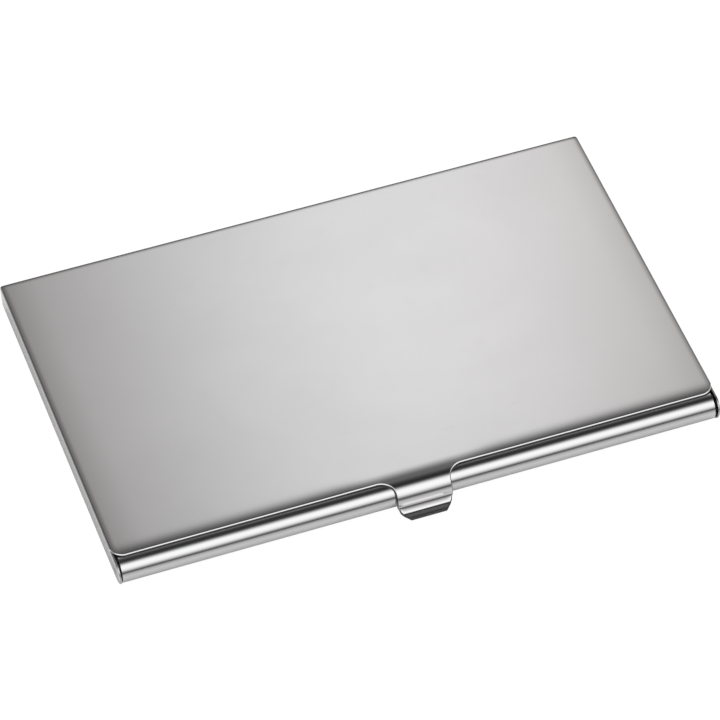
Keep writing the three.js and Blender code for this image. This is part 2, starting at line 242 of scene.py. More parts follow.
def inside(points, loops):
    """Even-odd test of points against all the loops."""
    count = np.zeros(len(points), int)
    for loop in loops:
        x0, y0 = loop[:, 0], loop[:, 1]
        x1, y1 = np.roll(x0, -1), np.roll(y0, -1)
        for s in range(0, len(points), 4000):
            p = points[s : s + 4000]
            crosses = (y0[None] > p[:, 1:2]) != (y1[None] > p[:, 1:2])
            with np.errstate(divide="ignore", invalid="ignore"):
                hit = x0[None] + (p[:, 1:2] - y0[None]) * (x1 - x0)[None] / (y1 - y0)[None]
            count[s : s + 4000] += (crosses & (p[:, 0:1] < hit)).sum(1)
    return count % 2 == 1


def far_from(points, loops, gap):
    keep = np.ones(len(points), bool)
    for loop in loops:
        edge = np.roll(loop, -1, 0) - loop
        square = (edge * edge).sum(1)
        for s in range(0, len(points), 2000):
            to_point = points[s : s + 2000][:, None, :] - loop[None]
            t = np.clip((to_point * edge[None]).sum(2) / square[None], 0, 1)
            away = to_point - t[..., None] * edge[None]
            keep[s : s + 2000] &= np.sqrt((away * away).sum(2)).min(1) > gap
    return keep


def eased(x, start, end):
    """Smooth step from 0 at start to 1 at end."""
    q = np.clip((x - start) / (end - start), 0, 1)
    return q * q * (3 - 2 * q)


# ------------------------------------------------------------------ meshes
def finish_mesh(name, verts_mm, faces, normals, attrs, body, slot, replaced):
    mesh = bpy.data.meshes.new(name)
    v = np.array(verts_mm, float)
    world_m = np.stack([v[:, 0], v[:, 1] + HINGE_Y, v[:, 2]], 1) / 1000.0
    mesh.from_pydata(world_m.tolist(), [], faces)
    mesh.update()
    mesh.polygons.foreach_set("use_smooth", [True] * len(mesh.polygons))
    for key, values in attrs.items():
        values = np.asarray(values, np.float32)
        if values.ndim == 1:
            mesh.attributes.new(key, "FLOAT", "POINT").data.foreach_set("value", values)
        else:
            layer = mesh.attributes.new(key, "FLOAT_VECTOR", "POINT")
            layer.data.foreach_set("vector", values.ravel())
    unit = np.array(normals, float)
    unit /= np.maximum(np.linalg.norm(unit, axis=1)[:, None], 1e-12)
    mesh.normals_split_custom_set_from_vertices(unit.tolist())
    ob = bpy.data.objects.new(name, mesh)
    bpy.context.scene.collection.objects.link(ob)
    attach(ob, body)
    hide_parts(replaced)
    return ob


def normals_of(fold, flat, h=2e-4):
    step_x, step_y = np.array([h, 0.0]), np.array([0.0, h])
    n = np.cross(fold(flat + step_x) - fold(flat - step_x), fold(flat + step_y) - fold(flat - step_y))
    return n / np.linalg.norm(n, axis=1)[:, None]


def triangulate(base, firsts):
    """Anticlockwise triangles over the base points, bounded by the loops that start the list."""
    edges, start = [], 0
    for loop in firsts:
        m = len(loop)
        edges += [(start + i, start + (i + 1) % m) for i in range(m)]
        start += m
    result = delaunay_2d_cdt([Vector(p) for p in base], edges, [], 0, 1e-6, True)
    points, triangles, origins = result[0], result[2], result[3]
    if not all(origins):
        raise ValueError("sheet outline crosses itself")
    tri = np.array(triangles, int)
    centres = np.array([[p.x, p.y] for p in points])[tri].mean(1)
    tri = np.array([o[0] for o in origins])[tri[inside(centres, firsts)]]
    a, b, c = base[tri[:, 0]], base[tri[:, 1]], base[tri[:, 2]]
    area = (b[:, 0] - a[:, 0]) * (c[:, 1] - a[:, 1]) - (b[:, 1] - a[:, 1]) * (c[:, 0] - a[:, 0])
    real = np.abs(area) > 1e-12
    tri, area = tri[real], area[real]
    tri[area < 0] = tri[area < 0][:, ::-1]
    return tri


def sheet_arrays(fold, thick, loops, interior, gap=0.09):
    """Builds a sheet from its flat pattern. fold maps flat points to the outer face in space.

    loops: (outline, edge rows); the outer one runs anticlockwise and the holes clockwise, so the
    metal is on the left. Attributes: 'edge' marks the cut, 'inner' the inner face, and 'dev' is the
    place in the flat pattern with the depth.
    """
    firsts, lasts, info = [], [], []
    for path, rows in loops:
        loop = clean_loop(path)
        n, mitre = inward_offsets(loop)
        firsts.append(loop + n * (mitre * rows[0][0])[:, None])
        lasts.append(loop + n * (mitre * rows[-1][0])[:, None])
        info.append((loop, n, mitre, rows))
    pts = np.array(interior, float)
    pts = pts[inside(pts, firsts)]
    pts = pts[far_from(pts, firsts, gap)]
    base = np.concatenate(firsts + [pts])
    base_in = np.concatenate(lasts + [pts])
    tri = triangulate(base, firsts).tolist()

    count = len(base)
    outer_normals, inner_normals = normals_of(fold, base), normals_of(fold, base_in)
    verts = [fold(base), fold(base_in) - thick * inner_normals]
    norms = [outer_normals, -inner_normals]
    edge = [np.zeros(count), np.zeros(count)]
    inner = [np.zeros(count), np.ones(count)]
    dev = [np.column_stack([base, np.zeros(count)]),
           np.column_stack([base_in, np.full(count, thick)])]
    faces = [tuple(f) for f in tri]
    faces += [(f[2] + count, f[1] + count, f[0] + count) for f in tri]
    total = 2 * count
    start = 0
    for loop, n, mitre, rows in info:
        m = len(loop)
        prev = list(range(start, start + m))
        outward = fold(loop) - fold(loop + n * (mitre * 0.01)[:, None])
        outward /= np.linalg.norm(outward, axis=1)[:, None]
        for offset, depth, turn in rows[1:-1]:
            flat = loop + n * (mitre * offset)[:, None]
            face_n = normals_of(fold, loop + n * (mitre * max(offset, 0.004))[:, None])
            verts.append(fold(flat) - depth * face_n)
            norms.append(face_n * math.cos(turn) + outward * math.sin(turn))
            edge.append(np.full(m, math.sin(turn) ** 2))
            inner.append(np.full(m, 0.0 if turn < 1.6 else 1.0))
            dev.append(np.column_stack([flat, np.full(m, depth)]))
            cur = list(range(total, total + m))
            total += m
            faces += [(prev[i], cur[i], cur[(i + 1) % m], prev[(i + 1) % m]) for i in range(m)]
            prev = cur
        cur = list(range(count + start, count + start + m))
        faces += [(prev[i], cur[i], cur[(i + 1) % m], prev[(i + 1) % m]) for i in range(m)]
        start += m
    return (np.concatenate(verts), faces, np.concatenate(norms),
            {"edge": np.concatenate(edge), "inner": np.concatenate(inner),
             "dev": np.concatenate(dev)})


def beyond_fold(flat, fold_x, fold_y, core_r):
    """Nearest point of the flat core, unit direction away from it, distance past the fold line."""
    core_x = np.clip(flat[:, 0], -(fold_x - core_r), fold_x - core_r)
    core_y = np.minimum(flat[:, 1], fold_y - core_r)
    dx, dy = flat[:, 0] - core_x, flat[:, 1] - core_y
    dist = np.sqrt(dx * dx + dy * dy)
    safe = np.maximum(dist, 1e-9)
    return core_x, core_y, dx / safe, dy / safe, np.maximum(dist - core_r, 0)


# ------------------------------------------------------------------ lid
# Normal turning of the tab's lower part in degrees below the horizontal, every 0.1 mm from 3.2
# to 7.0 down the tab.
LOWER_TURN = [
    62.7, 65.0, 67.4, 69.7, 72.6, 76.0, 79.6, 83.4, 86.8, 89.3, 90.9, 92.3, 92.5, 90.3, 84.1, 77.0,
    70.1, 64.9, 61.9, 59.8, 57.7, 55.8, 54.1, 52.5, 50.8, 47.4, 39.8, 29.5, 18.8, 10.0, 7.2, 7.0,
    7.2, 7.8, 8.8, 10.8, 13.5, 15.5, 16.5]


def tab_profile():
    """The tab's centre line: distance along it, slope, y, z, and how far its sides stand proud."""
    pattern = np.linspace(0, 6.97, 4001)
    curled = np.degrees((pattern - WRAP_FROM) / WRAP_R)
    # a soft maximum of the front edge's tilt and the wrap
    wrap = ((FRONT_TILT + curled) + np.sqrt((FRONT_TILT - curled) ** 2 + 30.0)) / 2
    wrap = FRONT_TILT + (wrap - wrap[0])
    lower = np.interp(pattern, np.linspace(3.2, 7.0, len(LOWER_TURN)), LOWER_TURN)
    share = np.clip((pattern - 3.2) / 0.3, 0, 1)
    turn = wrap * (1 - share) + lower * share
    # lengthen and shorten stretches of the line
    length = (pattern + 0.14 * eased(pattern, 1.69, 3.24) - 0.03 * eased(pattern, 4.2, 4.55)
              + 0.14 * eased(pattern, 6.2, 6.9))
    along = np.linspace(0, length[-1], 6001)
    turn = np.interp(along, length, turn)
    turn = np.convolve(np.pad(turn, 30, mode="edge"), np.ones(61) / 61, "valid")
    slope = np.radians(turn)

    def integral(rate):
        return np.concatenate([[0], np.cumsum((rate[1:] + rate[:-1]) / 2 * np.diff(along))])

    # near the tab's two sides the pressed groove closes, so the sheet stands proud there
    proud = (0.07 * eased(along, 3.85, 4.47) * (1 - eased(along, 4.47, 5.0))
             + 0.12 * eased(along, 5.15, 6.1))
    return along, slope, TAB_START - integral(np.cos(slope)), -integral(np.sin(slope)), proud


TAB_ALONG, TAB_SLOPE, TAB_Y, TAB_Z, TAB_PROUD = tab_profile()
TAB_END = float(TAB_ALONG[-1]) - 0.005
TAB_CUT = 5.36 + 0.18                    # where the tab's side edges narrow towards its lip


def curl(dist, reach, tilt, power):
    """Drop of a sheet that rolls off to an edge: slope is tilt*(1-dist/reach)^power."""
    x = np.clip(1 - dist / reach, 0, None)
    return math.tan(math.radians(tilt)) * reach / (power + 1) * x ** (power + 1)


def side_curl(dist):
    return curl(dist, 0.85, 2.9, 2.0) + curl(dist, 5.0, 0.5, 1.0)


def back_curl(dist):
    return curl(dist, 0.6, 3.0, 1.3)


def lid_fold(flat):
    across, along = flat[:, 0], flat[:, 1]
    core_x, core_y, out_x, out_y, past = beyond_fold(flat, LID_FOLD_X, LID_FOLD_Y, LID_CORE_R)
    is_flat = past <= 0
    bend = SIDE_BEND * out_x * out_x + BACK_BEND * out_y * out_y
    lead = SIDE_TILT * out_x * out_x + BACK_TILT * out_y * out_y
    turn = np.minimum(lead + past / np.maximum(bend, 0.1), FULL_BEND)
    wall = np.maximum(past - bend * (FULL_BEND - lead), 0)
    reach = LID_CORE_R + (bend * (np.sin(turn) - np.sin(lead)) + wall * math.cos(FULL_BEND))
    fall = bend * (np.cos(lead) - np.cos(turn)) + wall * math.sin(FULL_BEND)
    z = LID_TOP - np.where(is_flat, 0, fall)
    x = np.where(is_flat, across, core_x + out_x * reach)
    y = np.where(is_flat, along, core_y + out_y * reach)
    # the pressed top is a touch rolled off towards its bends and its front edge
    drop = (side_curl(np.maximum(LID_FOLD_X - np.abs(across), 0))
            + back_curl(np.maximum(LID_FOLD_Y - along, 0)))
    tab_drop = curl(np.maximum(along - TAB_START, 0), FRONT_REACH, FRONT_TILT, FRONT_POWER)
    edge_drop = curl(np.maximum(along - FRONT, 0), 3.3, 10.6, 3.3)
    # the middle of the front edge runs on into the thumb tab
    down = np.maximum(TAB_START - along, 0)
    on_tab = (along < FRONT) & (np.abs(across) < 12)
    proud = eased(np.abs(across), 3.3, 4.25) * np.interp(down, TAB_ALONG, TAB_PROUD)
    slope = np.interp(down, TAB_ALONG, TAB_SLOPE)
    tab_drop = tab_drop - np.interp(down, TAB_ALONG, TAB_Z) - proud * np.cos(slope)
    away = np.where(on_tab, 0, eased(np.abs(across), 6.6, 13.1))
    front_drop = tab_drop * (1 - away) + edge_drop * away
    front_drop = front_drop * (1 - eased(np.abs(across), LID_FOLD_X, LID_FOLD_X + 0.7))
    z = z - np.where(on_tab, 0, drop) - front_drop
    y = np.where(on_tab, np.interp(down, TAB_ALONG, TAB_Y) - proud * np.sin(slope), y)
    return np.stack([x, y, z], 1)


def wall_dist(z, bend, lead, drop):
    """Developed distance from the fold line to height z on a lid wall."""
    wall_top = LID_TOP - drop - bend * (math.cos(lead) - math.cos(FULL_BEND))
    return bend * (FULL_BEND - lead) + (wall_top - z) / math.sin(FULL_BEND)


def side_at(z):
    """Flat-pattern x of height z on the lid's side wall."""
    return LID_FOLD_X + wall_dist(z, SIDE_BEND, SIDE_TILT, float(side_curl(0.0)))


def lid_corner(past_side, past_back, angle):
    """Flat-pattern point round the back corner, at those distances past the two fold lines."""
    radius = (LID_CORE_R + past_side * math.cos(angle) ** 2 + past_back * math.sin(angle) ** 2)
    return (LID_FOLD_X - LID_CORE_R + radius * math.cos(angle),
            LID_FOLD_Y - LID_CORE_R + radius * math.sin(angle))


CORNER_R = 2.0                           # the top's front corners
CORNER_X = LID_HALF - CORNER_R
FRONT_X = [round(x, 4) for x in np.arange(7.2, CORNER_X, 1.2)]   # stations along the front edge


def lid_outline():
    tab_half, tab_fillet, lip_half = 4.25, 2.3, 2.75
    end_y, cut_y = TAB_START - TAB_END, TAB_START - TAB_CUT
    half = fillet_path([
        (0, end_y), (lip_half, end_y, 0.2), (tab_half - 0.3, cut_y - 0.26, 0.3),
        (tab_half - 0.2, cut_y + 0.16, 0.3), (tab_half, cut_y + 0.46, 0.3),
        (tab_half, FRONT - tab_fillet)])
    half += arc(tab_half + tab_fillet, FRONT - tab_fillet, tab_fillet, range(175, 89, -5))
    half += [(x, FRONT) for x in FRONT_X if x < CORNER_X - 0.3]
    half.append((CORNER_X, FRONT))
    # front corner, which stops where the slit beside the ear begins
    stop_y = 1.42
    for i in range(1, 60):
        angle = math.radians(2 * i)
        x = CORNER_X + CORNER_R * math.sin(angle)
        y = FRONT + CORNER_R - CORNER_R * math.cos(angle)
        if y > stop_y:
            break
        if x > LID_FOLD_X:
            x = LID_FOLD_X + SIDE_BEND * math.asin(min(1, (x - LID_FOLD_X) / SIDE_BEND))
        half.append((x, y))
    ear_top, ear_mid, low = (side_at(FLANGE_Z + rise) for rise in (4.0, 2.0, 0))
    slit_x = half[-1][0]
    slit_r = (ear_top - slit_x) / 2
    half += arc(slit_x + slit_r, stop_y + 0.02, slit_r, range(165, 0, -15))
    # round ear at the front of the side wall
    half.append((ear_top, stop_y))
    half += arc(ear_mid, -0.54, ear_mid - ear_top, range(180, 361, 5))
    half.append((low, LID_FOLD_Y - LID_CORE_R))
    low_back = wall_dist(FLANGE_Z, BACK_BEND, BACK_TILT, float(back_curl(0.0)))
    half += [lid_corner(low - LID_FOLD_X, low_back, math.radians(5 * i)) for i in range(1, 19)]

    def spacing(p):
        return 0.14 if p[1] < FRONT - 0.01 and abs(p[0]) < 7 else 1.25

    return refine(mirrored(half), spacing)


def lid_interior():
    insets = [0.0, 0.12, 0.25, 0.4, 0.56, 0.75, 1.0, 1.4, 1.9, 2.7, 4.0]
    tenths = [0.7 * i for i in range(10)]
    core_x = [x for x in FRONT_X if x < LID_FOLD_X - 4.3] + tenths
    xs = sorted(set([round(s * (LID_FOLD_X - d), 4) for d in insets for s in (-1, 1)]
                    + [round(s * x, 4) for x in core_x for s in (-1, 1)]))
    front_steps = (0.12, 0.24, 0.38, 0.54, 0.72, 0.92, 1.15, 1.4, 1.7, 2.0, 2.4, 2.8, 3.4, 4.6)
    ys = ([FRONT + d for d in front_steps] + list(np.linspace(7, 50, 15))
          + [LID_FOLD_Y - d for d in insets[::-1]])
    pts = [(x, y) for x in xs for y in ys]

    def wall_steps(bend, lead):
        full = bend * (FULL_BEND - lead)
        return [full * i / 9 for i in range(1, 10)] + [1.5, 2.2, 2.9, 3.6, 4.3, 4.66]

    side_steps, back_steps = wall_steps(SIDE_BEND, SIDE_TILT), wall_steps(BACK_BEND, BACK_TILT)
    for past in side_steps:
        for y in [-2.2, -1.8, -1.3, -0.9, -0.5, 0.0, 0.4, 0.8] + ys[6:]:
            pts += [(LID_FOLD_X + past, y), (-LID_FOLD_X - past, y)]
    pts += [(x, LID_FOLD_Y + past) for past in back_steps for x in xs[1:-1]]
    for past, past_back in [(-0.05, -0.05), (0, 0)] + list(zip(side_steps, back_steps)):
        for angle in np.radians(np.linspace(0, 90, 10)):
            x, y = lid_corner(past, past_back, angle)
            pts += [(-x, y), (x, y)]
    for down in np.arange(TAB_START - FRONT + 0.06, TAB_END, 0.1):
        for x in tenths + [3.15, 3.75, 3.98]:
            pts += [(s * x, TAB_START - down) for s in ((1, -1) if x else (1,))]
    return pts


def make_lid():
    # slanted face of the cut edge: (arc length, normal angle in degrees at its end)
    slant = [(0.012, 12), (0.014, 26), (0.05, 32), (0.05, 38), (0.05, 44), (0.022, 60),
             (0.02, 76), (0.02, 90)]
    loops = [(lid_outline(), broken_edge(SHEET, slant, 0.04))]
    for side in (1, -1):
        loops.append((hole(side * side_at(HINGE_Z), 0, 0.75, 40), rounded_edge(SHEET, 0.05, 0.04)))
    arrays = sheet_arrays(lid_fold, SHEET, loops, lid_interior(), 0.02)
    return finish_mesh("lid_sheet", *arrays, "case_lid", "lid_steel", "lid")


# ------------------------------------------------------------------ tray
def tray_fold(flat):
    across, along = flat[:, 0], flat[:, 1]
    core_x, core_y, out_x, out_y, past = beyond_fold(flat, TRAY_FOLD_X, TRAY_FOLD_Y, TRAY_CORE_R)
    past = np.where(along < 0.9, 0, past)
    turn = np.minimum(past / TRAY_BEND, QUARTER)
    reach = TRAY_BEND * np.sin(turn)
    z = TRAY_BEND * (1 - np.cos(turn)) + np.maximum(past - TRAY_ARC, 0)
    # turned-in rails along the side walls
    on_rail = (along > RAIL_FROM - 0.25) & (along < RAIL_TO + 0.25) & (past > RAIL_START)
    rail = np.maximum(past - RAIL_START, 0)
    turn = np.minimum(rail / RAIL_R, QUARTER)
    shelf = np.maximum(rail - RAIL_R * QUARTER, 0)
    reach = np.where(on_rail, TRAY_BEND - RAIL_R * (1 - np.cos(turn)) - shelf, reach)
    z = np.where(on_rail, TRAY_TOP - RAIL_R + RAIL_R * np.sin(turn), z)
    is_flat = past <= 0
    x = np.where(is_flat, across, core_x + out_x * (TRAY_CORE_R + reach))
    y = np.where(is_flat, along, core_y + out_y * (TRAY_CORE_R + reach))
    # rolled tube
    angle = -QUARTER - np.maximum(-along, 0) / TUBE_R
    y = np.where(along < 0, TUBE_R * np.cos(angle), y)
    z = np.where(along < 0, TUBE_R + TUBE_R * np.sin(angle), z)
    # mirrored, so that the outer face of the floor looks down
    return np.stack([-x, y, z], 1)


def tray_outline():
    wall = TRAY_FOLD_X + TRAY_ARC
    top = wall + (TRAY_TOP - TRAY_BEND)
    slot = wall + (3.5 - TRAY_BEND)      # bottom of the relief slots at the rail ends
    rail = wall + (TRAY_TOP - RAIL_R - TRAY_BEND) + RAIL_R * QUARTER + RAIL_FLAT
    floor_x = 45.35                      # side of the floor beside the tube
    half = fillet_path([
        (0, -TUBE_LENGTH), (TUBE_HALF, -TUBE_LENGTH, 0.25), (TUBE_HALF, 0.35, 0.12),
        (floor_x, 0.35, 0.12), (floor_x, 2.7, 0.3), (top, 2.7, 1.2), (top, RAIL_FROM - 0.5, 0.2),
        (slot, RAIL_FROM - 0.5, 0.16), (slot, RAIL_FROM, 0.16), (rail, RAIL_FROM + 0.15, 0.5),
        (rail, RAIL_TO - 0.15, 0.5), (slot, RAIL_TO, 0.16), (slot, RAIL_TO + 0.5, 0.16),
        (top, RAIL_TO + 0.5, 0.2), (top, TRAY_FOLD_Y - TRAY_CORE_R)])
    radius = top - (TRAY_FOLD_X - TRAY_CORE_R)
    half += arc(TRAY_FOLD_X - TRAY_CORE_R, TRAY_FOLD_Y - TRAY_CORE_R, radius, range(5, 91, 5))
    # wide notch in the back wall, down to 1.3 above the underside
    back_top = TRAY_FOLD_Y - TRAY_CORE_R + radius
    deep, notch_half = TRAY_TOP - 1.3, 11.0
    for i in range(33):
        q = i / 32
        half.append((notch_half + 2 - 5 * q, back_top - deep * q * q * (3 - 2 * q)))
    half.append((0, back_top - deep))

    def spacing(p):
        if p[1] < 0 and abs(p[0]) > TUBE_HALF - 0.3:
            return 0.12
        if abs(p[0]) > 45.4 and p[1] < 3:
            return 0.35
        near_slot = abs(p[1] - RAIL_FROM) < 0.7 or abs(p[1] - RAIL_TO) < 0.7
        return 0.1 if abs(p[0]) > slot - 0.05 and near_slot else 0.8

    return refine(mirrored(half), spacing)


def tray_interior():
    fold_x, fold_y = TRAY_FOLD_X, TRAY_FOLD_Y
    xs = sorted(set([round(s * (fold_x - d), 4) for d in (1.2, 3.0) for s in (-1, 1)]
                    + [round(x, 4) for x in np.linspace(-40, 40, 21)]))
    tube_xs = sorted(set([round(s * (TUBE_HALF - 0.5), 4) for s in (-1, 1)] + xs))
    pts = [(x, -s) for s in [-0.2] + list(np.arange(0.12, TUBE_LENGTH, 0.12)) for x in tube_xs]
    ys = [0.0, 0.5, 1.0, 1.8, 3.0, 5.0] + list(np.linspace(8, 50, 13)) + [fold_y - 2.0]
    pts += [(x, y) for x in xs for y in ys]
    # rings round the rivet holes
    for i in range(12):
        for s in (-1, 1):
            for r in (1.3, 1.9):
                pts.append((s * RIVET_X + r * math.cos(i * math.pi / 6),
                            RIVET_Y + r * math.sin(i * math.pi / 6)))
    steps = [TRAY_ARC * i / 6 for i in range(1, 7)] + [1.5, 2.2, 2.9, 3.5]
    rail_steps = [RAIL_START + d for d in (0.0, 0.12, 0.24, 0.36, 0.48, 0.6, 0.707, 1.2, 1.6)]
    rail_ys = list(np.linspace(RAIL_FROM + 0.5, RAIL_TO - 0.5, 38))
    wall_ys = ([3.0, 3.4, 4.0, 4.7] + list(np.linspace(5.5, 12.9, 10)) + rail_ys
               + list(np.linspace(RAIL_TO + 0.8, fold_y - TRAY_CORE_R, 14)))
    pts += [(s * (fold_x - d), y) for s in (-1, 1) for d in (0.0, 0.5) for y in wall_ys]
    for y in wall_ys:
        for past in steps + ([] if y in rail_ys else [4.1]):
            pts += [(fold_x + past, y), (-fold_x - past, y)]
    for y in rail_ys:
        for past in rail_steps:
            pts += [(fold_x + past, y), (-fold_x - past, y)]
    for x in np.linspace(-fold_x + TRAY_CORE_R, fold_x - TRAY_CORE_R, 120):
        pts += [(x, fold_y + past) for past in [-1.2, -0.5, 0.0] + steps + [4.1]]
    for r in [0.1, 0.2] + [TRAY_CORE_R + past for past in [0] + steps + [4.1]]:
        for a in np.radians(np.linspace(0, 90, 10)):
            for s in (-1, 1):
                pts.append((s * (fold_x - TRAY_CORE_R + r * math.cos(a)),
                            fold_y - TRAY_CORE_R + r * math.sin(a)))
    return pts


def make_tray():
    # countersunk rivet holes, as edge rows
    sink = [(0.41, 0.0, 0.3), (0.38, 0.02, 0.8), (0.02, 0.235, 1.0), (0.0, 0.25, QUARTER),
            (0.0, 0.32, QUARTER), (0.03, 0.35, math.pi)]
    loops = [(tray_outline(), rounded_edge(SHEET, 0.06, 0.05))]
    loops += [(hole(side * RIVET_X, RIVET_Y, RIVET_HOLE_R, 40), sink) for side in (1, -1)]
    arrays = sheet_arrays(tray_fold, SHEET, loops, tray_interior())
    return finish_mesh("tray_sheet", *arrays, "case_base", "tray_steel", "tray")


# ------------------------------------------------------------------ small parts
def make_turned(name, replaced, slot, profile, segs, origin, axes):
    """Lathes a profile of (radius, height) from axis to axis. The third row of axes is its axis.

    'dev' holds radius, height and angle.
    """
    prof = np.array(profile, float)
    tang = np.diff(prof, axis=0)
    tang /= np.linalg.norm(tang, axis=1)[:, None]
    side = np.stack([tang[:, 1], -tang[:, 0]], 1)
    normal = np.zeros_like(prof)
    normal[:-1] += side
    normal[1:] += side
    normal /= np.linalg.norm(normal, axis=1)[:, None]
    verts, norms, dev, rings, faces = [], [], [], [], []
    for (r, h), (n_out, n_up) in zip(prof, normal):
        if r < 1e-9:
            rings.append([len(verts)] * segs)
            verts.append((0, 0, h))
            norms.append((0, 0, 1 if n_up > 0 else -1))
            dev.append((0, h, 0))
            continue
        rings.append(list(range(len(verts), len(verts) + segs)))
        for k in range(segs):
            a = 2 * math.pi * k / segs
            verts.append((r * math.cos(a), r * math.sin(a), h))
            norms.append((n_out * math.cos(a), n_out * math.sin(a), n_up))
            dev.append((r, h, a))
    for low, high in zip(rings, rings[1:]):
        for k in range(segs):
            j = (k + 1) % segs
            corners = list(dict.fromkeys([low[k], low[j], high[j], high[k]]))
            if len(corners) >= 3:
                faces.append(tuple(corners))
    axes = np.array(axes, float)
    plain = np.zeros(len(verts))
    attrs = {"edge": plain, "inner": plain, "dev": np.array(dev, float)}
    return finish_mesh(name, np.array(origin, float) + np.array(verts) @ axes, faces,
                       np.array(norms) @ axes, attrs, "case_base", slot, replaced)


def make_pin(sign, name):
    """A plug in the end of the tube, with a stub that stands out through the lid's ear."""
    profile = fillet_path([
        (0, -4.0), (1.57, -4.0, 0), (1.82, -3.75, 0.1), (1.82, -0.12, 0.1), (1.7, 0.0, 0.05),
        (0.98, 0.0, 0), (0.94, -0.05, 0.02), (0.78, -0.05, 0.02), (0.7, 0.03, 0.04),
        (0.7, 0.5, 0.09), (0.6, 0.57, 0.05), (0.3, 0.575, 0), (0.2, 0.52, 0.05), (0, 0.5)])
    return make_turned(name + "_turned", name, "pin_steel", profile, 64,
                       (sign * (TUBE_HALF - 0.05), 0, HINGE_Z),
                       [(0, 1, 0), (0, 0, sign), (sign, 0, 0)])


def make_rivet(sign, name):
    """Flush countersunk below, with a domed head on top of the spring."""
    shank = [(0, 0.012), (0.2, 0.012), (0.97, 0.014), (0.99, 0.022), (0.62, 0.235), (0.6, 0.25)]
    # head: (radius, height above the spring)
    head = [(0.6, 0.01), (1.2, 0.012), (1.245, 0.03), (1.25, 0.06), (1.235, 0.1), (1.19, 0.15),
            (1.08, 0.215), (0.9, 0.275), (0.65, 0.325), (0.35, 0.352), (0.12, 0.36), (0, 0.36)]
    profile = shank + [(r, SPRING_TOP + h) for r, h in head]
    return make_turned(name + "_domed", name, "rivet_steel", profile, 56,
                       (sign * RIVET_X, RIVET_Y, 0), np.eye(3))


def spring_fold(flat):
    """Flat in the middle, raised towards both ends, with the tips dipping."""
    far = np.abs(flat[:, 0])
    dip = 0.35 * np.clip((far - 20) / (SPRING_HALF - 20), 0, 1.1) ** 2
    return np.stack([flat[:, 0], SPRING_Y + flat[:, 1], SPRING_TOP + (eased(far, 6, 20) - dip)], 1)


def make_spring():
    half = fillet_path([
        (0, -5.0), (6, -5.0, 3.0), (23, -3.4, 2.0), (SPRING_HALF, -2.4, 1.1),
        (SPRING_HALF, 2.4, 1.1), (23, 3.4, 2.0), (6, 5.0, 3.0), (0, 5.0)])
    outline = refine(mirrored(half), lambda p: 0.6)
    loops = [(outline, rounded_edge(SPRING_SHEET, 0.04, 0.04, 1))]
    for side in (1, -1):
        loops.append((hole(side * RIVET_X, 0, RIVET_HOLE_R, 32),
                      rounded_edge(SPRING_SHEET, 0.03, 0.03, 1)))
    pts = [(x, y) for x in np.arange(-23.5, 23.6, 0.5) for y in np.linspace(-4.6, 4.6, 9)]
    arrays = sheet_arrays(spring_fold, SPRING_SHEET, loops, pts)
    return finish_mesh("card_spring_leaf", *arrays, "case_base", "spring_steel", "card_spring")


lid = make_lid()
tray = make_tray()
pins = [make_pin(-1, "pivot_pin_left"), make_pin(1, "pivot_pin_right")]
spring = make_spring()
rivets = [make_rivet(-1, "spring_rivet_left"), make_rivet(1, "spring_rivet_right")]


